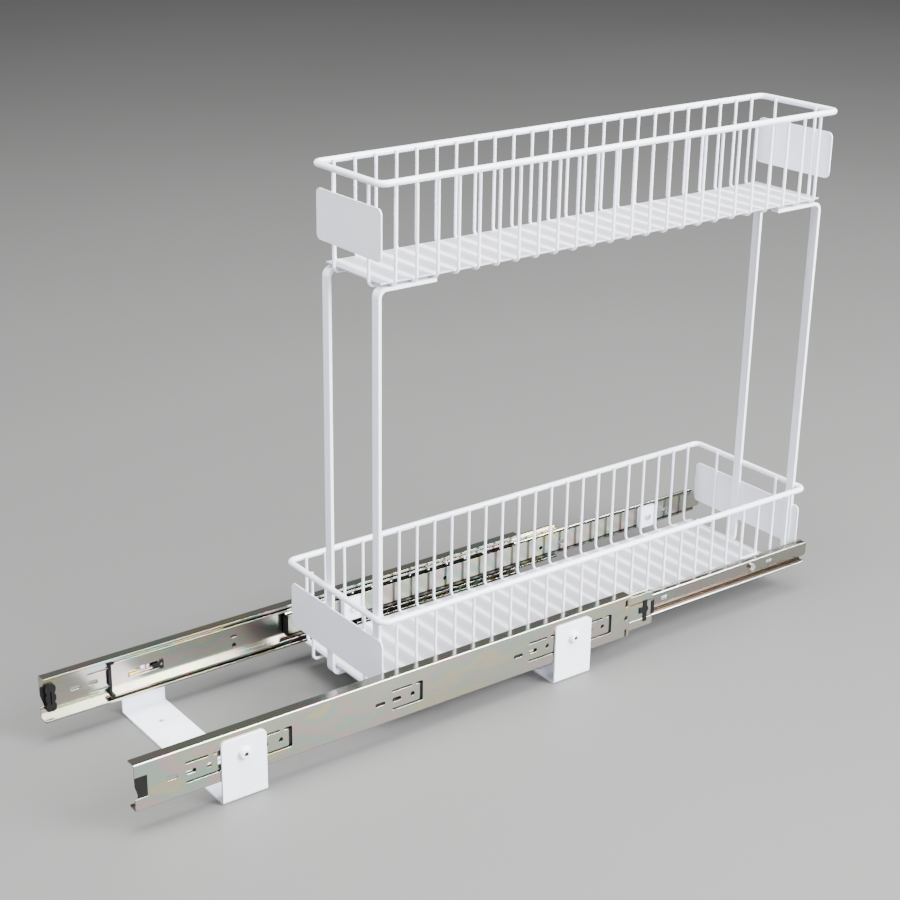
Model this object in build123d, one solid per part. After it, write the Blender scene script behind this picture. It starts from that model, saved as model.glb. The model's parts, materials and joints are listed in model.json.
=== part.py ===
from build123d import *
import math
import os

# Pull out cabinet basket: two tiers of wire basket on full extension ball bearing slides.
# Millimetres. +X is the pull out direction, +Y the far side, +Z up. The origin is on the
# cabinet floor, at the centre of the four floor screw holes of the cross brackets.
# Slide sections are drawn in (t, h): t is the depth from the outer face of the slide
# towards the basket, and h the height from the middle of the slide.

# ---- slides: common sizes ----
SLIDE_LENGTH = 558.8       # outer member
SLIDE_HEIGHT = 46.0
SLIDE_THICKNESS = 12.7     # closed slide, from cabinet face to basket face
SLIDE_SPAN = 190.0         # over both outer members
SLIDE_LIFT = 22.9          # underside of the outer members above the floor
SLIDE_REAR_X = -294.4
STEEL = 1.2                # sheet of every member

# ---- slides: sections ----
OUTER_DEPTH = 11.4
OUTER_LIP = 1.0
MIDDLE_GAP = 1.2           # between the outer and middle webs
MIDDLE_HEIGHT = 37.6
MIDDLE_DEPTH = 8.2
MIDDLE_FOLD = 2.5          # width of the full height fold beside the web
MIDDLE_STEP = 1.8          # the ball track lies this much below the fold
MIDDLE_LIP = 1.1
INNER_HEIGHT = 24.4
INNER_DEPTH = 7.8
INNER_GROOVE = 0.8
INNER_EDGE = 1.1           # width of the full height edges of the ball track
BALL_PLAY = 0.3            # between a ball and each track
CAGE_SHEET = 0.6
CAGE_GAP = 0.3             # between a cage and the web beside it
CAGE_HOLE_PLAY = 0.08      # between a ball and its hole in the cage
SECTION_BEND = 1.4

# ---- slides: lengths and places along X ----
MIDDLE_LENGTH = 542.0
NEAR_MIDDLE_REAR_X = -244.4 # the middle members float, so the two stand apart
FAR_MIDDLE_REAR_X = -222.4
INNER_LENGTH = 556.0
OUTER_CAGE_LENGTH = 240.0
INNER_CAGE_LENGTH = 230.0
BALLS_PER_ROW = 9
BALL_PITCH = 24.0

# ---- stamped features of the outer web, measured from the rear end ----
STAMP_STATIONS = (72.0, 144.6, 288.4, 450.9, 522.4)
STAMP_DROP = 1.2           # the row lies below the middle of the slide
STAMP_HOLE_D = 4.6
STAMP_TAB_HALF = 9.5       # from the row to the slits above and below the tab
STAMP_SLIT = 2.0
STAMP_TAB_BACK = 23.0
STAMP_TAB_FRONT = 10.0
STAMP_SHEAR = 3.6          # wide slit at the front end of the tab
STAMP_HOOK = 6.0
STAMP_TOP_SLIT = 22.0
STAMP_SHORT_SLOT = 10.0
STAMP_SHORT_HEIGHT = 4.2
STAMP_SLOT_BACK = 36.5
STAMP_SLOT = 11.0
STAMP_SLOT_HEIGHT = 3.6
FRONT_HOLE_D = 5.0
FRONT_HOLE_INSET = 4.8
FRONT_WINDOW_WIDTH = 3.6
FRONT_WINDOW_HEIGHT = 7.7
FRONT_WINDOW_RISE = 15.1
FRONT_NOTCH_WIDTH = 2.6
FRONT_NOTCH_HEIGHT = 8.8
REAR_NOTCH_LENGTH = 12.0
REAR_NOTCH_HEIGHT = 21.0

# ---- cross brackets ----
BRACKET_SHEET = 2.0
BRACKET_WIDTH = 45.6
BRACKET_PITCH = 376.8      # between the middles of the two brackets
BRACKET_HEIGHT = 62.0
BRACKET_CORNER = 4.5
BRACKET_BEND = 3.0
FLOOR_HOLE_PITCH = 121.6
FLOOR_HOLE_D = 4.8
BOLT_D = 5.0
BOLT_HEAD_D = 11.6
BOLT_HEAD_HEIGHT = 4.0
BOLT_HEAD_ROUND = 2.2
BOLT_SOCKET = 4.0
BOLT_SOCKET_DEPTH = 2.2
BOLT_PLAY = 0.1
CLINCH_NUT_D = 9.0

# ---- plastic parts of the slides ----
BUMPER_LENGTH = 10.6
BUMPER_HEIGHT = 27.7
BUMPER_THICKNESS = 3.2
BUMPER_INSET = 4.2         # from the rear end of the outer member
BUMPER_DROP = 2.5
BUMPER_LOBES = 3
BUMPER_LOBE_ROUND = 3.6
BUMPER_SLIT = 1.0
BUMPER_CUT = 3.5           # the lower rear corner is cut off by this much along X
BUMPER_CUT_HEIGHT = 12.0
BUMPER_BOSS_SET = 0.3      # the boss in the rear notch stays this much inside the web's face and end
BUMPER_BOSS_PLAY = 0.1
END_PIECE_LENGTH = 3.2
END_PIECE_WAIST = 1.6
END_PIECE_WAIST_H = 10.5   # middle of each waist from the middle of the slide
END_PIECE_PROUD = 0.6      # beyond the middle web on both its faces
CLIP_FROM_FRONT = 10.5     # middle of the front clip, from the front of the middle member
CLIP_THICKNESS = 0.8
CLIP_ARM_WIDTH = 4.8
CLIP_ARM_LENGTH = 24.0
CLIP_HUB_D = 8.4
CLIP_BAR_LENGTH = 8.0
CLIP_BAR_HEIGHT = 6.6
CLIP_DROP = 1.0            # of the arms, from the middle of the slide
CLIP_HUB_LIFT = 1.5        # of the hub and the bar, from the middle of the arms
FRONT_CAP_LENGTH = 4.0
FRONT_CAP_OVERHANG = 2.0
FRONT_CAP_HEIGHT = 14.8
FRONT_CAP_THICKNESS = 0.5
PLUG_LENGTH = 7.0
PLUG_OVERHANG = 1.6
PLUG_PLAY = 0.2

# ---- catch in the window of the middle member ----
WINDOW_LENGTH = 31.8
WINDOW_HEIGHT = 8.4
WINDOW_FROM_REAR = 33.6
WINDOW_DROP = 2.2
WINDOW_ROUND = 1.2
CATCH_THICKNESS = 0.8
CATCH_PLAY = 0.2
CATCH_LENGTH = 12.0
CATCH_HEIGHT = 9.6
CATCH_TOOTH = 4.0
CATCH_PIN_D = 2.4
CATCH_PIN_PLAY = 0.05
CATCH_PIN_BEYOND = 3.0     # pin beyond the front end of the window
SPRING_WIRE = 0.5
SPRING_D = 1.6
SPRING_LENGTH = 13.0
SPRING_TURNS = 9
STRIP_LENGTH = 11.0
STRIP_HEIGHT = 3.2
MIDDLE_HOLE_D = 4.6        # stamped pair further along the web
MIDDLE_HOLE_DROP = 6.8
MIDDLE_SLOT = 7.0
MIDDLE_SLOT_HEIGHT = 2.4
MIDDLE_SLOT_RISE = 3.0
MIDDLE_STAMP_FROM_REAR = 133.4

# ---- release lever in the channel of the inner member ----
LEVER_LENGTH = 58.0
LEVER_HEIGHT = 7.0
LEVER_THICKNESS = 2.0
LEVER_FROM_TAB = 34.32     # its pin, from the screw of the rear tab
LEVER_PIN_D = 3.0
LEVER_PIN_PLAY = 0.05
LEVER_GAP = 0.4

# ---- inner member details ----
TONGUE_LENGTH = 9.0
TONGUE_HEIGHT = 16.0
TONGUE_ROUND = 4.0
INNER_HOLE_STATIONS = (195.0, 326.0)
INNER_HOLE_D = 4.5
INNER_SLOT_STATIONS = (354.5, 508.0)
INNER_SLOT = 9.5
INNER_SLOT_HEIGHT = 4.2
INNER_SLIT_STATION = 515.5
INNER_SLIT_HEIGHT = 9.0
INNER_SLIT_WIDTH = 1.4

# ---- baskets: shared sizes ----
RIM_D = 6.0
WIRE_D = 3.0
WELD = 0.3                 # depth that welded wires sink into each other
BASKET_X = 246.6           # middle of both baskets
BASKET_LENGTH = 553.8      # between the rim's end runs
CROSS_WIRES = 24
WIRE_PITCH = 22.48
WIRE_BEND = 6.0
LONG_WIRE_BEND = 5.5
WIRE_TOP = 1.0             # wire ends stand this far above the rim's middle
BASKET_DEPTH = 91.6        # from the rim's middle to the cross wires' middle
RIM_CORNER = 7.5
END_PLATE_SHEET = 1.5
END_PLATE_ROUND = 5.5
END_PLATE_HEIGHT = 46.6
END_PLATE_BELOW_RIM = 21.7
LINER_SHEET = 1.5
LINER_PLAY = 0.2

# ---- lower basket ----
LOWER_RIM_Z = 118.4
LOWER_LONG_WIRE_Y = 44.8
LOWER_PLATE_OVERHANG = 3.1 # of the end plate below the rim, inside the rim's middle
LOWER_LINER_INSET = 11.9   # from the rim's end run to the end of the liner
LOWER_LINER_UPTURN = 0.0

# ---- upper basket ----
UPPER_RIM_Z = 525.6
UPPER_HALF_WIDTH = 51.4    # rim's middle
UPPER_Y = -26.8
UPPER_LONG_WIRE_Y = 27.2
UPPER_PLATE_OVERHANG = 1.5
UPPER_LINER_INSET = 5.9
UPPER_LINER_UPTURN = 25.0

# ---- uprights ----
UPRIGHT_WIDTH = 9.8
UPRIGHT_THICKNESS = 3.2
UPRIGHT_Y = 39.25          # from the middle of the upper basket
UPRIGHT_FOOT = 62.0
UPRIGHT_BEND = 9.0

# ---- fixing of the lower basket to the slides ----
TAB_THICKNESS = 3.8
TAB_HEIGHT = 25.2
TAB_END_WIRES = 2          # cross wires between each tab and the end of the basket
TAB_ROUND = 3.0
SCREW_D = 4.0
SCREW_HEAD_D = 8.2
SCREW_HEAD_HEIGHT = 2.2
SCREW_PLAY = 0.1
SCREW_CROSS = 1.0
NUT_FLATS = 7.0
NUT_HEIGHT = 3.0

# ---- places that follow from the sizes ----
SIDES = (("near", -1), ("far", 1))
SLIDE_Z = SLIDE_LIFT + SLIDE_HEIGHT / 2
SLIDE_FRONT_X = SLIDE_REAR_X + SLIDE_LENGTH
MIDDLE_REAR_X = {-1: NEAR_MIDDLE_REAR_X, 1: FAR_MIDDLE_REAR_X}
MIDDLE_WEB = STEEL + MIDDLE_GAP
MIDDLE_INSIDE = MIDDLE_WEB + STEEL
MIDDLE_LIP_T = MIDDLE_WEB + MIDDLE_DEPTH
MIDDLE_FOLD_T = MIDDLE_WEB + MIDDLE_FOLD
OUTER_TRACK_H = SLIDE_HEIGHT / 2 - STEEL
MIDDLE_TRACK_H = MIDDLE_HEIGHT / 2 - MIDDLE_STEP
MIDDLE_TRACK_INSIDE = MIDDLE_TRACK_H - STEEL
INNER_EDGE_H = INNER_HEIGHT / 2
INNER_TRACK_H = INNER_EDGE_H - INNER_GROOVE
INNER_INSIDE_H = INNER_TRACK_H - STEEL
INNER_OPEN_T = SLIDE_THICKNESS - INNER_DEPTH
INNER_WEB = SLIDE_THICKNESS - STEEL
OUTER_BALL_D = OUTER_TRACK_H - MIDDLE_TRACK_H - 2 * BALL_PLAY
INNER_BALL_D = MIDDLE_TRACK_INSIDE - INNER_TRACK_H - 2 * BALL_PLAY
OUTER_BALL_H = (OUTER_TRACK_H + MIDDLE_TRACK_H) / 2
INNER_BALL_H = (MIDDLE_TRACK_INSIDE + INNER_TRACK_H) / 2
OUTER_BALL_T = (MIDDLE_FOLD_T + MIDDLE_LIP_T - MIDDLE_LIP) / 2
INNER_BALL_T = (INNER_OPEN_T + SLIDE_THICKNESS) / 2
INNER_REAR_X = BASKET_X - INNER_LENGTH / 2
INNER_FRONT_X = INNER_REAR_X + INNER_LENGTH
SLIDE_FACE_Y = SLIDE_SPAN / 2 - SLIDE_THICKNESS
LOWER_WIRE_Y = SLIDE_FACE_Y - TAB_THICKNESS - WIRE_D / 2 + WELD
WIRE_TO_RIM = RIM_D / 2 + WIRE_D / 2 - WELD
LOWER_HALF_WIDTH = LOWER_WIRE_Y + WIRE_TO_RIM
LONG_WIRE_X = BASKET_LENGTH / 2 - WIRE_TO_RIM
LONG_WIRE_DROP = WIRE_D - WELD
LOWER_WIRE_Z = LOWER_RIM_Z - BASKET_DEPTH
UPPER_WIRE_Z = UPPER_RIM_Z - BASKET_DEPTH
UPRIGHT_OUTER_X = BASKET_LENGTH / 2 - RIM_D / 2 + WELD
TAB_WIRES = (TAB_END_WIRES, CROSS_WIRES - 2 - TAB_END_WIRES)


# ---- helpers ----
def across(t, side):
    """Y of a point at depth t in the slide on one side."""
    return side * (SLIDE_SPAN / 2 - t)


def middle_front_x(side):
    return MIDDLE_REAR_X[side] + MIDDLE_LENGTH


def window_x(side):
    return MIDDLE_REAR_X[side] + WINDOW_FROM_REAR


def cross_wire_x(index):
    return BASKET_X + (index - (CROSS_WIRES - 1) / 2) * WIRE_PITCH


def tab_x(index):
    """Middle of the tab that joins this cross wire and the next."""
    return (cross_wire_x(index) + cross_wire_x(index + 1)) / 2


def slide_bar(top_points, side, x_start, length, rounded=()):
    """A C section, given by the upper half of its outline in (t, h), run along X."""
    lower_points = [(t, -h) for t, h in reversed(top_points)]
    outline = make_face(Polyline(*top_points, *lower_points, close=True))
    if rounded:
        corners = [v for v in outline.vertices() if (round(v.X, 3), round(abs(v.Y), 3)) in rounded]
        outline = fillet(corners, SECTION_BEND)
    bar = extrude(outline, amount=length)
    # The drawn section lies in X and Y, and is turned so that t runs across and h up.
    bar = Plane(origin=(0, 0, 0), x_dir=(0, 1, 0), z_dir=(1, 0, 0)) * bar
    bar = Pos(x_start, -SLIDE_SPAN / 2, SLIDE_Z) * bar
    if side > 0:
        bar = mirror(bar, about=Plane.XZ)
    return bar


def y_plane(x, t, z, side):
    """A sketch plane whose normal points to the basket. Its Y axis runs along side * Z."""
    return Plane(origin=(x, across(t, side), z), x_dir=(1, 0, 0), z_dir=(0, -side, 0))


def slide_block(sketch, x, z, t_start, t_end, side):
    """A sketch in the plane of the slide's web, made solid between two depths."""
    return extrude(y_plane(x, t_start, z, side) * sketch, amount=t_end - t_start)


def through(sketch, x, z, t_start, t_end, side):
    """A cutter that runs a little past both depths."""
    return slide_block(sketch, x, z, t_start - STEEL / 2, t_end + STEEL / 2, side)


def wire(points, bend, diameter):
    """Round wire along straight runs joined by arcs."""
    path = FilletPolyline(*points, radius=bend)
    section = Plane(origin=path @ 0, z_dir=path % 0) * Circle(diameter / 2)
    return sweep(section, path=path)


def group(solids):
    return Compound(children=list(solids))


def save(name, shape):
    export_step(shape, "parts/" + name + ".step")


# ---- cross brackets, their bolts and nuts ----
def cross_bracket(x):
    half = SLIDE_SPAN / 2
    outer = half + BRACKET_SHEET
    points = (
        (-outer, BRACKET_HEIGHT), (-outer, 0), (outer, 0), (outer, BRACKET_HEIGHT),
        (half, BRACKET_HEIGHT), (half, BRACKET_SHEET), (-half, BRACKET_SHEET), (-half, BRACKET_HEIGHT),
    )
    outline = make_face(Polyline(*points, close=True))
    bends = [v for v in outline.vertices() if abs(v.Y) < BRACKET_SHEET / 2]
    outline = fillet(bends, BRACKET_BEND)
    start = Plane(origin=(x - BRACKET_WIDTH / 2, 0, 0), x_dir=(0, 1, 0), z_dir=(1, 0, 0))
    bracket = extrude(start * outline, amount=BRACKET_WIDTH)
    tops = [e for e in bracket.edges().filter_by(Axis.Y) if e.center().Z > BRACKET_HEIGHT - STEEL]
    bracket = fillet(tops, BRACKET_CORNER)
    for side in (-1, 1):
        floor_hole = Pos(x, side * FLOOR_HOLE_PITCH / 2, 0) * Cylinder(FLOOR_HOLE_D / 2, 4 * BRACKET_SHEET)
        bracket -= floor_hole
        bracket -= through(Circle(BOLT_D / 2 + BOLT_PLAY), x, SLIDE_Z, -BRACKET_SHEET, 0, side)
    return bracket


def bracket_bolt(x, side):
    head_t = -BRACKET_SHEET - BOLT_HEAD_HEIGHT
    head = slide_block(Circle(BOLT_HEAD_D / 2), x, SLIDE_Z, head_t, -BRACKET_SHEET, side)
    rim = [e for e in head.edges() if abs(e.center().Y) > abs(across(-BRACKET_SHEET, side)) + STEEL]
    head = fillet(rim, BOLT_HEAD_ROUND)
    socket = RegularPolygon(BOLT_SOCKET / 2, 6, major_radius=False)
    head -= slide_block(socket, x, SLIDE_Z, head_t, head_t + BOLT_SOCKET_DEPTH, side)
    shank = slide_block(Circle(BOLT_D / 2), x, SLIDE_Z, -BRACKET_SHEET, STEEL, side)
    return head + shank


def clinch_nut(x, side):
    ring = Circle(CLINCH_NUT_D / 2) - Circle(BOLT_D / 2 + BOLT_PLAY / 2)
    return slide_block(ring, x, SLIDE_Z, 0, STEEL, side)


# ---- slide members ----
def stamped_features(station_x, side):
    """Slots, holes and the slit round one tab of the outer member's web."""
    z = SLIDE_Z - STAMP_DROP
    low = z - STAMP_TAB_HALF
    high = z + STAMP_TAB_HALF
    tab_run = STAMP_TAB_BACK + STAMP_TAB_FRONT
    top_x = station_x - STAMP_TAB_BACK + STAMP_TOP_SLIT / 2
    short_x = station_x - STAMP_TAB_BACK + STAMP_SHORT_SLOT / 2
    hook_x = station_x + STAMP_TAB_FRONT - STAMP_HOOK / 2
    cuts = (
        (Circle(STAMP_HOLE_D / 2), station_x, z),
        (Rectangle(tab_run, STAMP_SLIT), station_x - STAMP_TAB_BACK + tab_run / 2, low),
        (Rectangle(STAMP_TOP_SLIT, STAMP_SLIT), top_x, high),
        (Rectangle(STAMP_HOOK, STAMP_SLIT), hook_x, high),
        (SlotOverall(2 * STAMP_TAB_HALF + STAMP_SLIT, STAMP_SHEAR, 90), station_x + STAMP_TAB_FRONT, z),
        (SlotOverall(STAMP_SHORT_SLOT, STAMP_SHORT_HEIGHT), short_x, z),
        (SlotOverall(STAMP_SLOT, STAMP_SLOT_HEIGHT), station_x - STAMP_SLOT_BACK, z),
    )
    return [through(sketch, x, cut_z, 0, STEEL, side) for sketch, x, cut_z in cuts]


def outer_member(side):
    half = SLIDE_HEIGHT / 2
    lip = OUTER_DEPTH - STEEL
    top = (
        (0, half), (OUTER_DEPTH, half), (OUTER_DEPTH, OUTER_TRACK_H - OUTER_LIP),
        (lip, OUTER_TRACK_H - OUTER_LIP), (lip, OUTER_TRACK_H), (STEEL, OUTER_TRACK_H),
    )
    rounded = {(0, half)}
    member = slide_bar(top, side, SLIDE_REAR_X, SLIDE_LENGTH, rounded)
    cutters = []
    for station in STAMP_STATIONS:
        cutters += stamped_features(SLIDE_REAR_X + station, side)
    for x in (-BRACKET_PITCH / 2, BRACKET_PITCH / 2):
        cutters.append(through(Circle(CLINCH_NUT_D / 2), x, SLIDE_Z, 0, STEEL, side))
    front_x = SLIDE_FRONT_X - FRONT_HOLE_INSET
    window = Rectangle(FRONT_WINDOW_WIDTH, FRONT_WINDOW_HEIGHT)
    notch = Rectangle(FRONT_NOTCH_WIDTH, 2 * FRONT_NOTCH_HEIGHT)
    cutters.append(through(Circle(FRONT_HOLE_D / 2), front_x, SLIDE_Z - STAMP_DROP, 0, STEEL, side))
    cutters.append(through(window, front_x, SLIDE_Z + FRONT_WINDOW_RISE, 0, STEEL, side))
    cutters.append(through(notch, front_x, SLIDE_LIFT, 0, STEEL, side))
    rear_notch = Rectangle(2 * REAR_NOTCH_LENGTH, REAR_NOTCH_HEIGHT)
    cutters.append(through(rear_notch, SLIDE_REAR_X, SLIDE_Z, 0, STEEL, side))
    return member - cutters


def middle_member(side):
    half = MIDDLE_HEIGHT / 2
    lip = MIDDLE_LIP_T - MIDDLE_LIP
    lip_h = MIDDLE_TRACK_H + MIDDLE_STEP / 2
    top = (
        (MIDDLE_WEB, half), (MIDDLE_FOLD_T, half), (MIDDLE_FOLD_T, MIDDLE_TRACK_H),
        (lip, MIDDLE_TRACK_H), (lip, lip_h), (MIDDLE_LIP_T, lip_h),
        (MIDDLE_LIP_T, MIDDLE_TRACK_INSIDE), (MIDDLE_INSIDE, MIDDLE_TRACK_INSIDE),
    )
    member = slide_bar(top, side, MIDDLE_REAR_X[side], MIDDLE_LENGTH)
    window = RectangleRounded(WINDOW_LENGTH, WINDOW_HEIGHT, WINDOW_ROUND)
    hole = Circle(MIDDLE_HOLE_D / 2)
    slot = SlotOverall(MIDDLE_SLOT, MIDDLE_SLOT_HEIGHT)
    stamp_x = MIDDLE_REAR_X[side] + MIDDLE_STAMP_FROM_REAR
    cuts = (
        (window, window_x(side), -WINDOW_DROP),
        (hole, stamp_x, -MIDDLE_HOLE_DROP),
        (slot, stamp_x, MIDDLE_SLOT_RISE),
    )
    return member - [through(sketch, x, SLIDE_Z + h, MIDDLE_WEB, MIDDLE_INSIDE, side) for sketch, x, h in cuts]


def inner_member(side):
    face = SLIDE_THICKNESS
    top = (
        (face, INNER_EDGE_H), (face - INNER_EDGE, INNER_EDGE_H), (face - INNER_EDGE, INNER_TRACK_H),
        (INNER_OPEN_T + INNER_EDGE, INNER_TRACK_H), (INNER_OPEN_T + INNER_EDGE, INNER_EDGE_H),
        (INNER_OPEN_T, INNER_EDGE_H), (INNER_OPEN_T, INNER_INSIDE_H), (INNER_WEB, INNER_INSIDE_H),
    )
    member = slide_bar(top, side, INNER_REAR_X, INNER_LENGTH)
    tongue = RectangleRounded(2 * TONGUE_LENGTH, TONGUE_HEIGHT, TONGUE_ROUND)
    member += slide_block(tongue, INNER_FRONT_X, SLIDE_Z, INNER_WEB, SLIDE_THICKNESS, side)
    cutters = []
    for station in INNER_HOLE_STATIONS:
        hole = Circle(INNER_HOLE_D / 2)
        cutters.append(through(hole, INNER_REAR_X + station, SLIDE_Z, INNER_WEB, SLIDE_THICKNESS, side))
    for station in INNER_SLOT_STATIONS:
        slot = SlotOverall(INNER_SLOT, INNER_SLOT_HEIGHT)
        cutters.append(through(slot, INNER_REAR_X + station, SLIDE_Z, INNER_WEB, SLIDE_THICKNESS, side))
    slit = Rectangle(INNER_SLIT_WIDTH, INNER_SLIT_HEIGHT)
    slit_x = INNER_REAR_X + INNER_SLIT_STATION
    cutters.append(through(slit, slit_x, SLIDE_Z, INNER_WEB, SLIDE_THICKNESS, side))
    screw = Circle(SCREW_D / 2 + SCREW_PLAY)
    for index in TAB_WIRES:
        cutters.append(through(screw, tab_x(index), SLIDE_Z, INNER_WEB, SLIDE_THICKNESS, side))
    pin = Circle(LEVER_PIN_D / 2)
    cutters.append(through(pin, LEVER_PIN_X, SLIDE_Z, INNER_WEB, SLIDE_THICKNESS, side))
    return member - cutters


# ---- ball cages and balls ----
def ball_places(cage_x, ball_t, ball_h, side):
    first = cage_x - BALL_PITCH * (BALLS_PER_ROW - 1) / 2
    places = []
    for row in (-1, 1):
        for index in range(BALLS_PER_ROW):
            places.append((first + index * BALL_PITCH, across(ball_t, side), SLIDE_Z + row * ball_h))
    return places


def ball_cage(web_t, ball_t, ball_h, ball_d, cage_x, length, side):
    reach = ball_t + ball_d / 2 + CAGE_SHEET
    top = (
        (web_t, ball_h + CAGE_SHEET / 2), (reach, ball_h + CAGE_SHEET / 2),
        (reach, ball_h - CAGE_SHEET / 2), (web_t + CAGE_SHEET, ball_h - CAGE_SHEET / 2),
    )
    cage = slide_bar(top, side, cage_x - length / 2, length)
    hole = Cylinder(ball_d / 2 + CAGE_HOLE_PLAY, 4 * CAGE_SHEET)
    return cage - [Pos(*place) * hole for place in ball_places(cage_x, ball_t, ball_h, side)]


def balls(cage_x, ball_t, ball_h, ball_d, side):
    return group(Pos(*place) * Sphere(ball_d / 2) for place in ball_places(cage_x, ball_t, ball_h, side))


# ---- plastic parts of the slides ----
def rear_bumper(side):
    x = SLIDE_REAR_X + BUMPER_INSET + BUMPER_LENGTH / 2
    z = SLIDE_Z - BUMPER_DROP
    lobe_pitch = BUMPER_HEIGHT / BUMPER_LOBES
    lobe = RectangleRounded(BUMPER_LENGTH, lobe_pitch + WELD, BUMPER_LOBE_ROUND)
    outline = Rectangle(BUMPER_LENGTH - 2 * STEEL, BUMPER_HEIGHT - lobe_pitch)
    for index in range(BUMPER_LOBES):
        outline += Pos(0, (index - (BUMPER_LOBES - 1) / 2) * lobe_pitch) * lobe
    slit = SlotOverall(BUMPER_HEIGHT / 2, BUMPER_SLIT, 90)
    bumper = slide_block(outline - slit, x, z, STEEL, STEEL + BUMPER_THICKNESS, side)
    rear = BUMPER_BOSS_SET
    front = REAR_NOTCH_LENGTH - BUMPER_BOSS_PLAY
    half = REAR_NOTCH_HEIGHT / 2 - BUMPER_BOSS_PLAY
    corners = (
        (rear, side * half), (front, side * half), (front, -side * half),
        (rear + BUMPER_CUT, -side * half), (rear, side * (BUMPER_CUT_HEIGHT - half)),
    )
    boss = make_face(Polyline(*corners, close=True))
    return bumper + slide_block(boss, SLIDE_REAR_X, SLIDE_Z, BUMPER_BOSS_SET, STEEL, side)


def end_piece(side):
    """Waisted plastic piece on the rear end of the middle member."""
    x = MIDDLE_REAR_X[side] - END_PIECE_LENGTH / 2
    outline = Rectangle(END_PIECE_LENGTH, MIDDLE_HEIGHT)
    for place in (-1, 1):
        outline -= Pos(-END_PIECE_LENGTH / 2, place * END_PIECE_WAIST_H) * Circle(END_PIECE_WAIST)
    start = MIDDLE_WEB - END_PIECE_PROUD
    piece = slide_block(outline, x, SLIDE_Z, start, MIDDLE_INSIDE + END_PIECE_PROUD, side)
    pad_height = MIDDLE_HEIGHT / 2 - MIDDLE_TRACK_INSIDE
    for place in (-1, 1):
        pad_z = SLIDE_Z + place * (MIDDLE_HEIGHT / 2 - pad_height / 2)
        pad = Rectangle(END_PIECE_LENGTH, pad_height)
        piece += slide_block(pad, x, pad_z, start, MIDDLE_LIP_T - MIDDLE_LIP, side)
    return piece


def front_clip(side):
    """Cross shaped clip and edge cap at the front of the middle member."""
    x = middle_front_x(side) - CLIP_FROM_FRONT
    outline = Rectangle(CLIP_ARM_WIDTH, CLIP_ARM_LENGTH)
    outline += Pos(0, side * CLIP_HUB_LIFT) * Circle(CLIP_HUB_D / 2)
    outline += Pos(-CLIP_BAR_LENGTH / 2, side * CLIP_HUB_LIFT) * Rectangle(CLIP_BAR_LENGTH, CLIP_BAR_HEIGHT)
    clip = slide_block(outline, x, SLIDE_Z - CLIP_DROP, MIDDLE_WEB - CLIP_THICKNESS, MIDDLE_WEB, side)
    cap_x = middle_front_x(side) + FRONT_CAP_OVERHANG - FRONT_CAP_LENGTH / 2
    cap_outline = Rectangle(FRONT_CAP_LENGTH, FRONT_CAP_HEIGHT)
    cap_start = MIDDLE_WEB - FRONT_CAP_THICKNESS
    cap = slide_block(cap_outline, cap_x, SLIDE_Z, cap_start, MIDDLE_INSIDE + FRONT_CAP_THICKNESS, side)
    web_outline = Rectangle(2 * FRONT_CAP_LENGTH, FRONT_CAP_HEIGHT * 2)
    web_x = middle_front_x(side) - FRONT_CAP_LENGTH
    cap -= slide_block(web_outline, web_x, SLIDE_Z, MIDDLE_WEB, MIDDLE_INSIDE, side)
    return group((clip, cap))


def rear_plug(side):
    x = INNER_REAR_X - PLUG_OVERHANG + PLUG_LENGTH / 2
    outline = Rectangle(PLUG_LENGTH, 2 * (INNER_INSIDE_H - PLUG_PLAY))
    return slide_block(outline, x, SLIDE_Z, INNER_OPEN_T + PLUG_PLAY, INNER_WEB, side)


# ---- catch ----
CATCH_START = MIDDLE_INSIDE + CATCH_PLAY
CATCH_Z = SLIDE_Z - WINDOW_DROP


def catch_pin_x(side):
    return window_x(side) + WINDOW_LENGTH / 2 + CATCH_PIN_BEYOND


def catch_hook(side):
    outline = Pos(-CATCH_LENGTH / 2 + CATCH_PIN_D) * Rectangle(CATCH_LENGTH, CATCH_PIN_D * 2)
    outline += Pos(CATCH_PIN_D - CATCH_TOOTH / 2) * Rectangle(CATCH_TOOTH, CATCH_HEIGHT)
    outline -= Circle(CATCH_PIN_D / 2 + CATCH_PIN_PLAY)
    return slide_block(outline, catch_pin_x(side), CATCH_Z, CATCH_START, CATCH_START + CATCH_THICKNESS, side)


def catch_pin(side):
    end = CATCH_START + CATCH_THICKNESS
    return slide_block(Circle(CATCH_PIN_D / 2), catch_pin_x(side), CATCH_Z, MIDDLE_INSIDE, end, side)


def catch_spring(side):
    """Coil spring lying along the window, as one unbroken tube."""
    coil_r = (SPRING_D - SPRING_WIRE) / 2
    path = Helix(pitch=SPRING_LENGTH / SPRING_TURNS, height=SPRING_LENGTH, radius=coil_r)
    section = Plane(origin=path @ 0, z_dir=path % 0) * Circle(SPRING_WIRE / 2)
    coil = sweep(section, path=path, is_frenet=True)
    coil = Rot(0, 90, 0) * coil
    return Pos(window_x(side) - SPRING_LENGTH / 2, across(MIDDLE_WEB + STEEL / 2, side), CATCH_Z) * coil


def catch_strip(side):
    x = window_x(side) - WINDOW_LENGTH / 2 + WINDOW_ROUND + STRIP_LENGTH / 2
    z = CATCH_Z - WINDOW_HEIGHT / 2 + STRIP_HEIGHT / 2
    return slide_block(Rectangle(STRIP_LENGTH, STRIP_HEIGHT), x, z, MIDDLE_WEB, MIDDLE_INSIDE, side)


# ---- release lever ----
LEVER_END = INNER_WEB - LEVER_GAP
LEVER_PIN_X = tab_x(TAB_WIRES[0]) + LEVER_FROM_TAB


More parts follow.
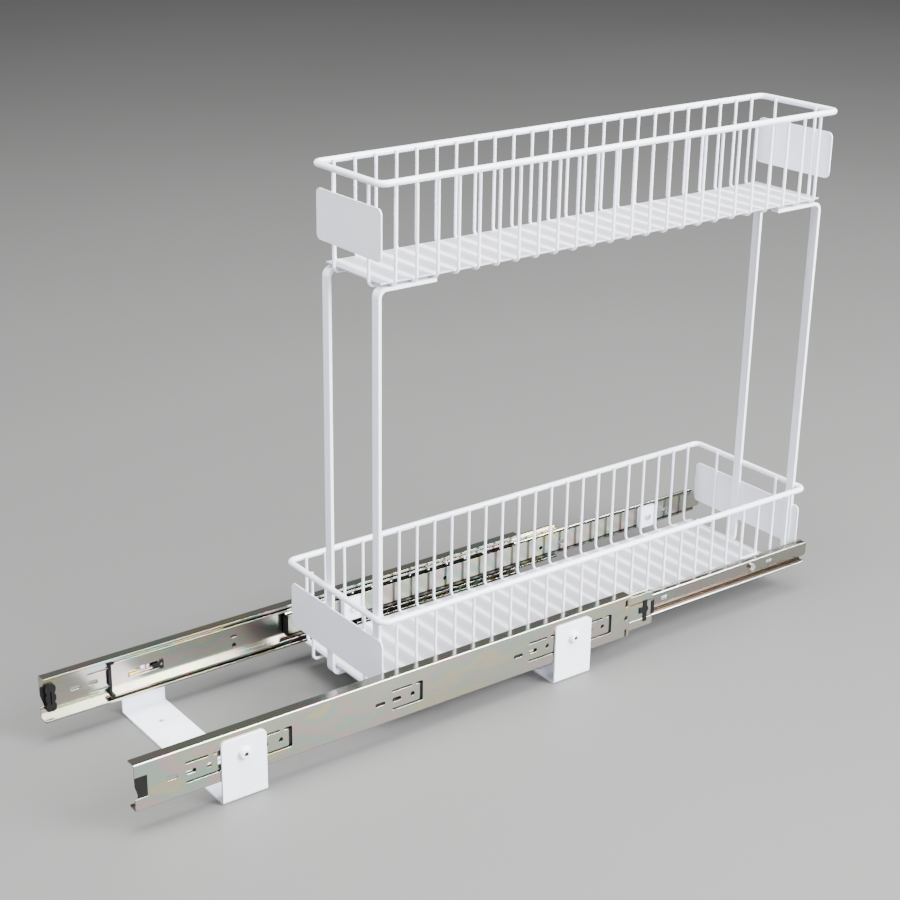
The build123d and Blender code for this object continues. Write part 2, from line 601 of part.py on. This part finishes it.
def release_lever(side):
    outline = SlotOverall(LEVER_LENGTH, LEVER_HEIGHT)
    outline = Pos(LEVER_LENGTH / 2 - LEVER_HEIGHT / 2) * outline
    outline -= Circle(LEVER_PIN_D / 2 + LEVER_PIN_PLAY)
    return slide_block(outline, LEVER_PIN_X, SLIDE_Z, LEVER_END - LEVER_THICKNESS, LEVER_END, side)


def lever_pin(side):
    start = LEVER_END - LEVER_THICKNESS
    return slide_block(Circle(LEVER_PIN_D / 2), LEVER_PIN_X, SLIDE_Z, start, SLIDE_THICKNESS, side)


# ---- fixing tabs, screws and nuts ----
def mounting_tab(index, side):
    outline = RectangleRounded(WIRE_PITCH + WIRE_D, TAB_HEIGHT, TAB_ROUND)
    outline -= Circle(SCREW_D / 2 + SCREW_PLAY)
    start = SLIDE_THICKNESS
    return slide_block(outline, tab_x(index), SLIDE_Z, start, start + TAB_THICKNESS, side)


def mounting_screw(index, side):
    x = tab_x(index)
    seat = SLIDE_THICKNESS + TAB_THICKNESS
    top = seat + SCREW_HEAD_HEIGHT
    head = slide_block(Circle(SCREW_HEAD_D / 2), x, SLIDE_Z, seat, top, side)
    rim = [e for e in head.edges() if abs(e.center().Y) < abs(across(seat, side)) - STEEL]
    head = fillet(rim, SCREW_HEAD_HEIGHT / 2)
    for turn in (0, 90):
        arm = Rectangle(SCREW_HEAD_D / 2, SCREW_CROSS, rotation=turn)
        head -= slide_block(arm, x, SLIDE_Z, top - SCREW_CROSS, top, side)
    shank = slide_block(Circle(SCREW_D / 2), x, SLIDE_Z, INNER_WEB - NUT_HEIGHT, seat, side)
    return head + shank


def mounting_nut(index, side):
    outline = RegularPolygon(NUT_FLATS / 2, 6, major_radius=False) - Circle(SCREW_D / 2 + SCREW_PLAY / 2)
    return slide_block(outline, tab_x(index), SLIDE_Z, INNER_WEB - NUT_HEIGHT, INNER_WEB, side)


# ---- baskets ----
def rim(half_width, y_middle, z):
    path = RectangleRounded(BASKET_LENGTH, 2 * half_width, RIM_CORNER).wire()
    section = Plane(origin=path @ 0, z_dir=path % 0) * Circle(RIM_D / 2)
    return Pos(BASKET_X, y_middle, z) * sweep(section, path=path)


def cross_wires(wire_y, y_middle, rim_z):
    top = rim_z + WIRE_TOP
    bottom = rim_z - BASKET_DEPTH
    points = ((0, -wire_y, top), (0, -wire_y, bottom), (0, wire_y, bottom), (0, wire_y, top))
    one = wire(points, WIRE_BEND, WIRE_D)
    return group(Pos(cross_wire_x(index), y_middle, 0) * one for index in range(CROSS_WIRES))


def long_wires(long_y, y_middle, rim_z):
    top = rim_z + WIRE_TOP
    bottom = rim_z - BASKET_DEPTH - LONG_WIRE_DROP
    points = ((-LONG_WIRE_X, 0, top), (-LONG_WIRE_X, 0, bottom), (LONG_WIRE_X, 0, bottom), (LONG_WIRE_X, 0, top))
    one = wire(points, LONG_WIRE_BEND, WIRE_D)
    return group(Pos(BASKET_X, y_middle + side * long_y, 0) * one for side in (-1, 1))


def end_plate(half_width, y_middle, rim_z, end):
    outline = RectangleRounded(2 * half_width, END_PLATE_HEIGHT, END_PLATE_ROUND)
    x = BASKET_X + end * UPRIGHT_OUTER_X
    z = rim_z - END_PLATE_BELOW_RIM - END_PLATE_HEIGHT / 2
    face = Plane(origin=(x, y_middle, z), x_dir=(0, 1, 0), z_dir=(end, 0, 0))
    return extrude(face * outline, amount=END_PLATE_SHEET)


def liner(wire_y, y_middle, rim_z, inset, upturn):
    """Sheet that lies on the cross wires, with its long edges turned up along their bends."""
    flat = wire_y - WIRE_BEND
    z = rim_z - BASKET_DEPTH + WIRE_D / 2
    outside_r = WIRE_BEND - WIRE_D / 2 - LINER_PLAY
    outline = Rectangle(2 * flat, LINER_SHEET, align=(Align.CENTER, Align.MIN))
    if upturn > 0:
        ring = Circle(outside_r) - Circle(outside_r - LINER_SHEET)
        reach = 2 * outside_r
        end = (reach * math.sin(math.radians(upturn)), -reach * math.cos(math.radians(upturn)))
        sector = make_face(Polyline((0, 0), (0, -reach), end, close=True))
        lip = Pos(flat, outside_r) * (ring & sector)
        outline += lip
        outline += mirror(lip, about=Plane.YZ)
    half_length = BASKET_LENGTH / 2 - inset
    start = Plane(origin=(BASKET_X - half_length, y_middle, z), x_dir=(0, 1, 0), z_dir=(1, 0, 0))
    return extrude(start * outline, amount=2 * half_length)


def upright(end, side):
    """Flat bar with both ends turned in under the cross wires of the two baskets."""
    low = LOWER_WIRE_Z - WIRE_D / 2 + WELD - UPRIGHT_THICKNESS
    high = UPPER_WIRE_Z - WIRE_D / 2 + WELD
    outer = UPRIGHT_OUTER_X
    inner = outer - UPRIGHT_THICKNESS
    tip = outer - UPRIGHT_FOOT
    points = (
        (tip, low), (outer, low), (outer, high), (tip, high),
        (tip, high - UPRIGHT_THICKNESS), (inner, high - UPRIGHT_THICKNESS),
        (inner, low + UPRIGHT_THICKNESS), (tip, low + UPRIGHT_THICKNESS),
    )
    outline = make_face(Polyline(*points, close=True))
    outer_corners = [v for v in outline.vertices() if v.X > outer - STEEL]
    outline = fillet(outer_corners, UPRIGHT_BEND)
    inner_corners = [v for v in outline.vertices() if abs(v.X - inner) < WELD and low < v.Y < high]
    outline = fillet(inner_corners, UPRIGHT_BEND - UPRIGHT_THICKNESS)
    face = Plane(origin=(0, 0, 0), x_dir=(1, 0, 0), z_dir=(0, -1, 0)) * outline
    bar = extrude(face, amount=UPRIGHT_WIDTH / 2, both=True)
    if end < 0:
        bar = mirror(bar, about=Plane.YZ)
    return Pos(BASKET_X, UPPER_Y + side * UPRIGHT_Y, 0) * bar


# ---- writing the parts ----
os.makedirs("parts", exist_ok=True)

save("rear_cross_bracket", cross_bracket(-BRACKET_PITCH / 2))
save("front_cross_bracket", cross_bracket(BRACKET_PITCH / 2))
bolt_places = [(x, side) for x in (-BRACKET_PITCH / 2, BRACKET_PITCH / 2) for side in (-1, 1)]
save("bracket_bolts", group(bracket_bolt(x, side) for x, side in bolt_places))
save("bracket_clinch_nuts", group(clinch_nut(x, side) for x, side in bolt_places))

for label, side in SIDES:
    save(label + "_outer_member", outer_member(side))
    save(label + "_middle_member", middle_member(side))
    save(label + "_inner_member", inner_member(side))
    save(label + "_rear_bumper", rear_bumper(side))
    save(label + "_end_piece", end_piece(side))
    save(label + "_front_clip", front_clip(side))
    save(label + "_rear_plug", rear_plug(side))
    save(label + "_catch_hook", catch_hook(side))
    save(label + "_catch_pin", catch_pin(side))
    save(label + "_catch_spring", catch_spring(side))
    save(label + "_catch_strip", catch_strip(side))
    save(label + "_release_lever", release_lever(side))
    outer_web = STEEL + CAGE_GAP
    inner_web = MIDDLE_INSIDE + CAGE_GAP
    outer_x = (MIDDLE_REAR_X[side] + SLIDE_FRONT_X) / 2
    inner_x = (INNER_REAR_X + middle_front_x(side)) / 2
    save(label + "_outer_cage", ball_cage(
        outer_web, OUTER_BALL_T, OUTER_BALL_H, OUTER_BALL_D, outer_x, OUTER_CAGE_LENGTH, side))
    save(label + "_inner_cage", ball_cage(
        inner_web, INNER_BALL_T, INNER_BALL_H, INNER_BALL_D, inner_x, INNER_CAGE_LENGTH, side))
    save(label + "_outer_balls", balls(outer_x, OUTER_BALL_T, OUTER_BALL_H, OUTER_BALL_D, side))
    save(label + "_inner_balls", balls(inner_x, INNER_BALL_T, INNER_BALL_H, INNER_BALL_D, side))
    save(label + "_mounting_tabs", group(mounting_tab(index, side) for index in TAB_WIRES))

save("lever_pins", group(lever_pin(side) for label, side in SIDES))
screw_places = [(index, side) for index in TAB_WIRES for label, side in SIDES]
save("mounting_screws", group(mounting_screw(index, side) for index, side in screw_places))
save("mounting_nuts", group(mounting_nut(index, side) for index, side in screw_places))

BASKETS = (
    ("lower", LOWER_HALF_WIDTH, 0.0, LOWER_RIM_Z, LOWER_LONG_WIRE_Y, LOWER_PLATE_OVERHANG,
     LOWER_LINER_INSET, LOWER_LINER_UPTURN),
    ("upper", UPPER_HALF_WIDTH, UPPER_Y, UPPER_RIM_Z, UPPER_LONG_WIRE_Y, UPPER_PLATE_OVERHANG,
     UPPER_LINER_INSET, UPPER_LINER_UPTURN),
)
for label, half_width, y_middle, rim_z, long_y, overhang, inset, upturn in BASKETS:
    wire_y = half_width - WIRE_TO_RIM
    save(label + "_rim", rim(half_width, y_middle, rim_z))
    save(label + "_cross_wires", cross_wires(wire_y, y_middle, rim_z))
    save(label + "_long_wires", long_wires(long_y, y_middle, rim_z))
    save(label + "_rear_end_plate", end_plate(half_width - overhang, y_middle, rim_z, -1))
    save(label + "_front_end_plate", end_plate(half_width - overhang, y_middle, rim_z, 1))
    save(label + "_liner", liner(wire_y, y_middle, rim_z, inset, upturn))

for end_label, end in (("rear", -1), ("front", 1)):
    for label, side in SIDES:
        save(end_label + "_" + label + "_upright", upright(end, side))
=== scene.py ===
import json
import math

import bmesh
import bpy
from mathutils import Matrix, Vector


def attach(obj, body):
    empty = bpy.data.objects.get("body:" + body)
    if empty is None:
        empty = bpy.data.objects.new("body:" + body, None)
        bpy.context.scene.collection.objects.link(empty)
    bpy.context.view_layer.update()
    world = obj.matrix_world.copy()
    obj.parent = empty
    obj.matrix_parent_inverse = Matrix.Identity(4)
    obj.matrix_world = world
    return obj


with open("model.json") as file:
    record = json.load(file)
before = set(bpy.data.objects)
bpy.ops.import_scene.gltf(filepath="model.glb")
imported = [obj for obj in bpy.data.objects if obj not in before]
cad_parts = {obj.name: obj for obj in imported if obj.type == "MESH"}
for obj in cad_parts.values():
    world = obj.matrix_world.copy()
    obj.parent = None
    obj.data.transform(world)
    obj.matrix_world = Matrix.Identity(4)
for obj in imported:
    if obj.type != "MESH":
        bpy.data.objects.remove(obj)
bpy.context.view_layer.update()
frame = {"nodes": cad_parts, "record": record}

# Pull out cabinet basket: white coated wire baskets on zinc plated slides. Metres.
MM = 0.001
SLIDE_MIDDLE = 45.9
SLIDE_Z = SLIDE_MIDDLE * MM
BASKET_X = 246.6 * MM
WIRE_PITCH = 22.48 * MM


# ---- materials ----
class Finish:
    """A material and short calls that add nodes to it."""

    def __init__(self, name):
        self.material = bpy.data.materials.new(name)
        self.material.use_nodes = True
        self.nodes = self.material.node_tree.nodes
        self.links = self.material.node_tree.links
        self.shader = self.nodes["Principled BSDF"]
        self.coords = self.nodes.new("ShaderNodeTexCoord").outputs["Object"]

    def set(self, **values):
        for name, value in values.items():
            self.shader.inputs[name.replace("_", " ")].default_value = value
        return self

    def link(self, output, target):
        self.links.new(output, target)
        return self

    def stretched(self, scale):
        mapping = self.nodes.new("ShaderNodeMapping")
        mapping.inputs["Scale"].default_value = scale
        self.link(self.coords, mapping.inputs["Vector"])
        return mapping.outputs["Vector"]

    def noise(self, scale, detail=3.0, stretch=None, roughness=0.5):
        node = self.nodes.new("ShaderNodeTexNoise")
        node.inputs["Scale"].default_value = scale
        node.inputs["Detail"].default_value = detail
        node.inputs["Roughness"].default_value = roughness
        self.link(self.stretched(stretch) if stretch else self.coords, node.inputs["Vector"])
        return node.outputs["Fac"]

    def ramp(self, source, stops):
        node = self.nodes.new("ShaderNodeValToRGB")
        elements = node.color_ramp.elements
        for _ in range(len(stops) - 2):
            elements.new(0.5)
        for element, (place, colour) in zip(elements, stops):
            element.position = place
            element.color = (*colour, 1.0)
        self.link(source, node.inputs["Fac"])
        return node.outputs["Color"]

    def span(self, source, low, high):
        node = self.nodes.new("ShaderNodeMapRange")
        node.inputs["To Min"].default_value = low
        node.inputs["To Max"].default_value = high
        self.link(source, node.inputs["Value"])
        return node.outputs["Result"]

    def math(self, operation, first, second=None):
        node = self.nodes.new("ShaderNodeMath")
        node.operation = operation
        for socket, value in zip(node.inputs, (first, second)):
            if value is None:
                continue
            if isinstance(value, (int, float)):
                socket.default_value = value
            else:
                self.link(value, socket)
        return node.outputs[0]

    def axis(self, name):
        node = self.nodes.new("ShaderNodeSeparateXYZ")
        self.link(self.coords, node.inputs[0])
        return node.outputs[name]

    def mix(self, factor, first, second):
        node = self.nodes.new("ShaderNodeMix")
        node.data_type = "RGBA"
        self.link(factor, node.inputs[0])
        for socket, value in ((node.inputs[6], first), (node.inputs[7], second)):
            if isinstance(value, tuple):
                socket.default_value = (*value, 1.0)
            else:
                self.link(value, socket)
        return node.outputs[2]

    def paint(self, source, low, high):
        """A base colour that drifts between two tones."""
        tones = self.ramp(source, ((0.3, low), (0.7, high)))
        return self.link(tones, self.shader.inputs["Base Color"])

    def roughen(self, source, low, high):
        return self.link(self.span(source, low, high), self.shader.inputs["Roughness"])

    def near(self, value, place, reach):
        """One where a value lies within reach of a place, else nought."""
        distance = self.math("ABSOLUTE", self.math("SUBTRACT", value, place))
        return self.math("LESS_THAN", distance, reach)

    def surface(self, height, strength, distance, edge=0.0):
        """Bump from a height, over edges softened to a radius."""
        bump = self.nodes.new("ShaderNodeBump")
        bump.inputs["Strength"].default_value = strength
        bump.inputs["Distance"].default_value = distance
        self.link(height, bump.inputs["Height"])
        if edge:
            soft = self.nodes.new("ShaderNodeBevel")
            soft.samples = 4
            soft.inputs["Radius"].default_value = edge
            self.link(soft.outputs["Normal"], bump.inputs["Normal"])
        self.link(bump.outputs["Normal"], self.shader.inputs["Normal"])
        return self


def white_coat():
    """Gloss powder coat with a faint orange peel."""
    f = Finish("white_coat").set(IOR=1.5, Coat_Weight=0.35, Coat_Roughness=0.12)
    f.paint(f.noise(9, 2), (0.80, 0.84, 0.94), (0.85, 0.88, 0.97))
    f.roughen(f.noise(60, 3), 0.24, 0.36)
    return f.surface(f.noise(700, 2), 0.06, 0.0004, 0.0004).material


def plate_coat():
    """The end plates: smoother and a touch greyer than the wires."""
    f = Finish("plate_coat").set(IOR=1.5, Coat_Weight=0.2, Coat_Roughness=0.2)
    f.paint(f.noise(7, 2), (0.78, 0.80, 0.89), (0.82, 0.84, 0.92))
    f.roughen(f.noise(50, 3), 0.34, 0.44)
    return f.surface(f.noise(900, 2), 0.05, 0.0003, 0.0005).material


def frosted_sheet():
    """Milky plastic with painted light: the wires under it drawn into its colour as soft bright
    stripes.
    """
    f = Finish("frosted_sheet").set(IOR=1.45, Transmission_Weight=0.15)
    wires = f.math("DIVIDE", f.math("SUBTRACT", f.axis("X"), BASKET_X), WIRE_PITCH)
    beside = f.math("ABSOLUTE", f.math("SUBTRACT", f.math("FRACT", wires), 0.5))
    painted_wire_stripes = f.math("ADD", beside, f.span(f.noise(30, 2), -0.06, 0.06))
    # Painted light: bright stripes at the wire pitch stand for the wires under the sheet seen
    # through it.
    stops = ((0.08, (0.86, 0.86, 0.90)), (0.20, (0.50, 0.50, 0.55)), (0.48, (0.43, 0.43, 0.48)))
    f.link(f.ramp(painted_wire_stripes, stops), f.shader.inputs["Base Color"])
    f.roughen(f.noise(80, 3), 0.40, 0.52)
    return f.surface(f.noise(1200, 2), 0.08, 0.0002).material


PLAIN_ZINC = (0.56, 0.55, 0.49)
CLOUD_TINTS = (
    (0.30, (0.58, 0.57, 0.48)), (0.41, (0.50, 0.60, 0.42)), (0.48, (0.72, 0.48, 0.48)),
    (0.54, (0.38, 0.60, 0.52)), (0.62, (0.74, 0.64, 0.32)), (0.74, (0.62, 0.48, 0.60)),
)
SHADE_STOPS = ((0.35, (0.02, 0.02, 0.02)), (0.65, (1.0, 1.0, 1.0)))
# Colours for the inner members: a brown band of grease and painted shade along the lower track,
# and a black line of painted shade at the foot of the web.
TRACK_GREASE_AND_SHADE = (0.13, 0.085, 0.055)
FOOT_PAINTED_SHADE = (0.03, 0.03, 0.025)


def zinc(name, tone, rough, greasy_and_shaded=False):
    """Zinc plate with soft clouds of pink, green and yellow in its passivation."""
    f = Finish(name).set(Metallic=1.0)
    clouds = f.noise(14, 2.5, (0.8, 1.8, 2.6), 0.6)
    stops = [(place, tuple(tone * c for c in tint)) for place, tint in CLOUD_TINTS]
    plain = tuple(tone * c for c in PLAIN_ZINC)
    colour = f.mix(f.span(f.noise(6, 2), -0.2, 0.8), f.ramp(clouds, stops), plain)
    shade = f.ramp(f.noise(5, 2, (0.5, 1.0, 2.0)), SHADE_STOPS)
    colour = f.mix(f.math("MULTIPLY", shade, 0.4), colour, tuple(0.5 * c for c in plain))
    rolled = f.noise(30, 3, (0.2, 8.0, 8.0))
    if greasy_and_shaded:
        # Painted shade: a brown band, smeared like grease, along the lower track, and a black line
        # at the foot of the web.
        above = f.math("SUBTRACT", f.axis("Z"), SLIDE_Z)
        grease_and_shade_band = f.near(above, -10.2 * MM, 0.2 * MM)
        smear = f.span(f.noise(40, 4, (1.0, 6.0, 6.0)), 0.5, 1.2)
        colour = f.mix(f.math("MULTIPLY", grease_and_shade_band, smear), colour, TRACK_GREASE_AND_SHADE)
        colour = f.mix(f.near(above, -9.1 * MM, 1.0 * MM), colour, FOOT_PAINTED_SHADE)
    f.link(colour, f.shader.inputs["Base Color"])
    f.roughen(rolled, rough, rough + 0.10)
    return f.surface(f.noise(60, 2, (0.05, 3.0, 3.0)), 0.02, 0.0002, 0.0006).material


def moulded(name, colour, low, high):
    """Black plastic or rubber with a fine grain."""
    f = Finish(name).set(IOR=1.48, Specular_IOR_Level=0.12)
    f.paint(f.noise(40, 3), colour, tuple(c * 1.8 for c in colour))
    f.roughen(f.noise(120, 3), low, high)
    return f.surface(f.noise(1500, 3), 0.15, 0.0002, 0.0004).material


def bright_metal(name, low, high, rough):
    f = Finish(name).set(Metallic=1.0)
    f.paint(f.noise(60, 3), low, high)
    f.roughen(f.noise(200, 3), rough, rough + 0.12)
    return f.surface(f.noise(900, 3), 0.05, 0.0002, 0.0002).material


WHITE = white_coat()
PLATE = plate_coat()
SHEET = frosted_sheet()
OUTER_ZINC = zinc("outer_zinc", 0.76, 0.13)
MIDDLE_ZINC = zinc("middle_zinc", 0.82, 0.14)
# Painted shade: the inner members take a darker copy of the zinc, for their place set back in the
# channel.
INNER_ZINC_SHADED = zinc("inner_zinc_painted_shade", 0.52, 0.16, greasy_and_shaded=True)
BLACK = moulded("black_plastic", (0.006, 0.006, 0.007), 0.35, 0.50)
RUBBER = moulded("bumper_rubber", (0.006, 0.006, 0.006), 0.50, 0.70)
BRIGHT = bright_metal("bright_steel", (0.70, 0.70, 0.70), (0.82, 0.82, 0.81), 0.14)
# Painted shade: the cages are near black, for grease and for the dark gaps between the slide
# members.
CAGE_GREASE_AND_SHADE = bright_metal("greased_cage_painted_shade", (0.012, 0.012, 0.010), (0.030, 0.028, 0.024), 0.30)
BRASS = bright_metal("brass_strip", (0.66, 0.50, 0.20), (0.78, 0.62, 0.30), 0.25)

SLOT_FINISH = {
    "white_coat": WHITE, "white_panel": PLATE, "frosted_plastic": SHEET, "zinc_steel": MIDDLE_ZINC,
    "bright_steel": BRIGHT, "black_plastic": BLACK, "rubber": RUBBER, "brass": BRASS,
}


def dress(node, material):
    mesh = frame["nodes"][node].data
    mesh.materials.clear()
    mesh.materials.append(material)


for part in frame["record"]["subparts"]:
    dress(part["node"], SLOT_FINISH[part["material_slot"]])
for side in ("near", "far"):
    dress(side + "_outer_member", OUTER_ZINC)
    dress(side + "_inner_member", INNER_ZINC_SHADED)
    dress(side + "_outer_cage", CAGE_GREASE_AND_SHADE)
    dress(side + "_inner_cage", CAGE_GREASE_AND_SHADE)


# ---- pieces that the solids leave out ----
def piece(name, body, material, build):
    """A new mesh in the shared frame that rides with one body."""
    mesh = bmesh.new()
    build(mesh)
    bmesh.ops.recalc_face_normals(mesh, faces=mesh.faces)
    made = bpy.data.objects.new(name, bpy.data.meshes.new(name))
    mesh.to_mesh(made.data)
    mesh.free()
    made.data.materials.append(material)
    bpy.context.collection.objects.link(made)
    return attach(made, body)


def box(mesh, low, high):
    """A box between two corners in millimetres."""
    middle = [(a + b) / 2 * MM for a, b in zip(low, high)]
    size = [abs(b - a) * MM for a, b in zip(low, high)]
    place = Matrix.Translation(middle) @ Matrix.Diagonal((*size, 1.0))
    bmesh.ops.create_cube(mesh, size=1.0, matrix=place)


def run_along_x(mesh, section, x_low, x_high):
    """A closed (y, z) outline in millimetres, made solid between two places on X."""
    corners = [mesh.verts.new((x_low * MM, y * MM, z * MM)) for y, z in section]
    face = mesh.faces.new(corners)
    made = bmesh.ops.extrude_face_region(mesh, geom=[face])
    moved = [item for item in made["geom"] if isinstance(item, bmesh.types.BMVert)]
    bmesh.ops.translate(mesh, verts=moved, vec=((x_high - x_low) * MM, 0, 0))


def rod_along_x(mesh, y, z, radius, x_low, x_high):
    middle = Vector(((x_low + x_high) / 2, y, z)) * MM
    turn = Matrix.Rotation(math.pi / 2, 4, "Y")
    bmesh.ops.create_cone(
        mesh, cap_ends=True, segments=16, radius1=radius * MM, radius2=radius * MM,
        depth=(x_high - x_low) * MM, matrix=Matrix.Translation(middle) @ turn)


# Millimetres from here to the floor. Depths are from the cabinet face of a slide.
SIDES = (("near", -1), ("far", 1))
HALF_SPAN = 95.0
SLIDE_REAR = -294.4
TAB_STATIONS = (144.6, 288.4, 450.9, 522.4)
SLOT_STATIONS = (288.4, 450.9)
SLOT_BEHIND_TAB = 36.5
SLOT_HALF = (6.2, 2.5)
ROW_Z = 44.7
SLIT_BELOW = (33.4, 37.0)
SLIT_ABOVE = (52.4, 56.0)
SLIT_UPRIGHT = (33.4, 56.0)
SLIT_PATCHES = (
    ((-23.5, 11.0), SLIT_BELOW), ((-23.5, -0.5), SLIT_ABOVE),
    ((3.5, 11.0), SLIT_ABOVE), ((7.6, 12.4), SLIT_UPRIGHT),
)
SHADE_SHEET_DEPTHS = (1.22, 1.34)
MIDDLE_REAR = {"near": -244.4, "far": -222.4}
MIDDLE_LENGTH = 542.0
BEAD_FROM_END = 1.0
BEAD_FACE, BEAD_PROUD = 2.42, 2.14
BEAD_HEIGHTS = (8.6, 10.6, 18.4, 18.4)
LIP_DEPTH = 5.6
LIP_HEIGHT = 11.2
LIP_RADIUS = 1.05
LIP_RUN = (-30.9, 524.1)
BOLT_X = 188.4
SOCKET_FLOOR_DEPTH = -4.5
SOCKET_FLOOR_RADIUS = 1.95
SOCKET_FLOOR_SHEET = 1.2


def across(side, depth):
    """Y in millimetres of a depth from the cabinet face of a slide."""
    return side * (HALF_SPAN - depth)


# Painted shade: dark sheets behind the slits of the outer web, where only shade would be.
def painted_shade_behind_slits(mesh, side):
    near_y, far_y = [across(side, depth) for depth in SHADE_SHEET_DEPTHS]
    half_x, half_z = SLOT_HALF

    def patch(x_low, x_high, z_low, z_high):
        box(mesh, (x_low, near_y, z_low), (x_high, far_y, z_high))

    for station in TAB_STATIONS:
        x = SLIDE_REAR + station
        for (x_low, x_high), heights in SLIT_PATCHES:
            patch(x + x_low, x + x_high, *heights)
    for station in SLOT_STATIONS:
        x = SLIDE_REAR + station - SLOT_BEHIND_TAB
        patch(x - half_x, x + half_x, ROW_Z - half_z, ROW_Z + half_z)


# Painted shade: one near black finish for the dark sheets behind the slits and the discs in the
# bolt sockets.
PAINTED_SHADE_BLACK = moulded("painted_shade_black", (0.006, 0.006, 0.006), 0.35, 0.5)
for label, side in SIDES:
    piece(label + "_web_painted_shade", "frame", PAINTED_SHADE_BLACK,
          lambda mesh: painted_shade_behind_slits(mesh, side))


# Long beads of the middle web: a raised band along each edge, with a bright sloping side.
def web_beads(mesh, label, side):
    rear = MIDDLE_REAR[label] + BEAD_FROM_END
    front = MIDDLE_REAR[label] + MIDDLE_LENGTH - BEAD_FROM_END
    face, proud = across(side, BEAD_FACE), across(side, BEAD_PROUD)
    for up in (-1, 1):
        outline = zip((face, proud, proud, face), BEAD_HEIGHTS)
        section = [(y, SLIDE_MIDDLE + up * height) for y, height in outline]
        run_along_x(mesh, section, rear, front)


for label, side in SIDES:
    piece(label + "_web_beads", label + "_middle", MIDDLE_ZINC,
          lambda mesh: web_beads(mesh, label, side))


# Rolled lips of the inner members, which catch the light.
def inner_lips(mesh, side):
    for up in (-1, 1):
        height = SLIDE_MIDDLE + up * LIP_HEIGHT
        rod_along_x(mesh, across(side, LIP_DEPTH), height, LIP_RADIUS, *LIP_RUN)


LIP_STEEL = bright_metal("lip_steel", (0.80, 0.79, 0.76), (0.88, 0.88, 0.86), 0.16)
for label, side in SIDES:
    piece(label + "_inner_lips", "basket", LIP_STEEL,
          lambda mesh: inner_lips(mesh, side))


# Painted shade: dark discs at the bottom of the hexagon sockets.
def socket_shade_discs(mesh):
    quarter = Matrix.Rotation(math.pi / 2, 4, "X")
    radius = SOCKET_FLOOR_RADIUS * MM
    for x in (-BOLT_X, BOLT_X):
        for label, side in SIDES:
            place = Vector((x, across(side, SOCKET_FLOOR_DEPTH), SLIDE_MIDDLE)) * MM
            bmesh.ops.create_cone(
                mesh, cap_ends=True, segments=24, radius1=radius, radius2=radius,
                depth=SOCKET_FLOOR_SHEET * MM, matrix=Matrix.Translation(place) @ quarter)


piece("bolt_socket_painted_shade", "frame", PAINTED_SHADE_BLACK, socket_shade_discs)

# ---- floor, light and camera ----
floor_mesh = bmesh.new()
bmesh.ops.create_grid(floor_mesh, x_segments=2, y_segments=2, size=40)
floor = bpy.data.objects.new("floor", bpy.data.meshes.new("floor"))
floor_mesh.to_mesh(floor.data)
floor_mesh.free()
bpy.context.collection.objects.link(floor)
ground = Finish("pale_floor").set(Roughness=0.6)
ground.paint(ground.noise(0.6, 2), (0.118, 0.118, 0.116), (0.132, 0.132, 0.13))
floor.data.materials.append(ground.material)


def area_light(name, place, target, size, power):
    lamp = bpy.data.lights.new(name, "AREA")
    lamp.shape = "RECTANGLE"
    lamp.size, lamp.size_y = size
    lamp.energy = power
    holder = bpy.data.objects.new(name, lamp)
    holder.location = place
    aim = Vector(target) - Vector(place)
    holder.rotation_euler = aim.to_track_quat("-Z", "Y").to_euler()
    bpy.context.collection.objects.link(holder)


area_light("overhead", (0.0, -0.5, 3.6), (0.1, 0, 0.1), (2.8, 2.2), 400)
area_light("key", (1.5, -2.1, 1.7), (0.1, 0, 0.25), (1.5, 2.2), 350)
area_light("front", (0.1, -2.6, 1.1), (0.1, 0, 0.25), (1.6, 1.0), 110)
area_light("left", (-1.2, 0.1, 1.3), (0, 0, 0.45), (0.7, 0.7), 24)

world = bpy.data.worlds.new("studio")
world.use_nodes = True
background = world.node_tree.nodes["Background"]
background.inputs["Color"].default_value = (0.62, 0.62, 0.63, 1)
background.inputs["Strength"].default_value = 0.45
bpy.context.scene.world = world

# The camera stands where the photograph was taken from.
CAMERA_PLACE = (-0.85363, -1.26557, 0.86698)
CAMERA_YAW = 0.612723
CAMERA_PITCH = -0.380783
CAMERA_ROLL = 0.001985
FOCAL_PIXELS = 1770.38
AXIS_PIXEL = 391.35
IMAGE = 900
SENSOR = 36

ahead = Vector((
    math.sin(CAMERA_YAW) * math.cos(CAMERA_PITCH),
    math.cos(CAMERA_YAW) * math.cos(CAMERA_PITCH),
    math.sin(CAMERA_PITCH),
))
level = Vector((math.cos(CAMERA_YAW), -math.sin(CAMERA_YAW), 0))
upward = level.cross(ahead)
right = level * math.cos(CAMERA_ROLL) + upward * math.sin(CAMERA_ROLL)
top = upward * math.cos(CAMERA_ROLL) - level * math.sin(CAMERA_ROLL)
lens = bpy.data.cameras.new("camera")
lens.sensor_width = SENSOR
lens.lens = FOCAL_PIXELS * SENSOR / IMAGE
lens.shift_x = (IMAGE / 2 - AXIS_PIXEL) / IMAGE
lens.clip_end = 60
camera = bpy.data.objects.new("camera", lens)
camera.matrix_world = Matrix((
    (right.x, top.x, -ahead.x, CAMERA_PLACE[0]),
    (right.y, top.y, -ahead.y, CAMERA_PLACE[1]),
    (right.z, top.z, -ahead.z, CAMERA_PLACE[2]),
    (0, 0, 0, 1),
))
bpy.context.collection.objects.link(camera)
bpy.context.scene.camera = camera
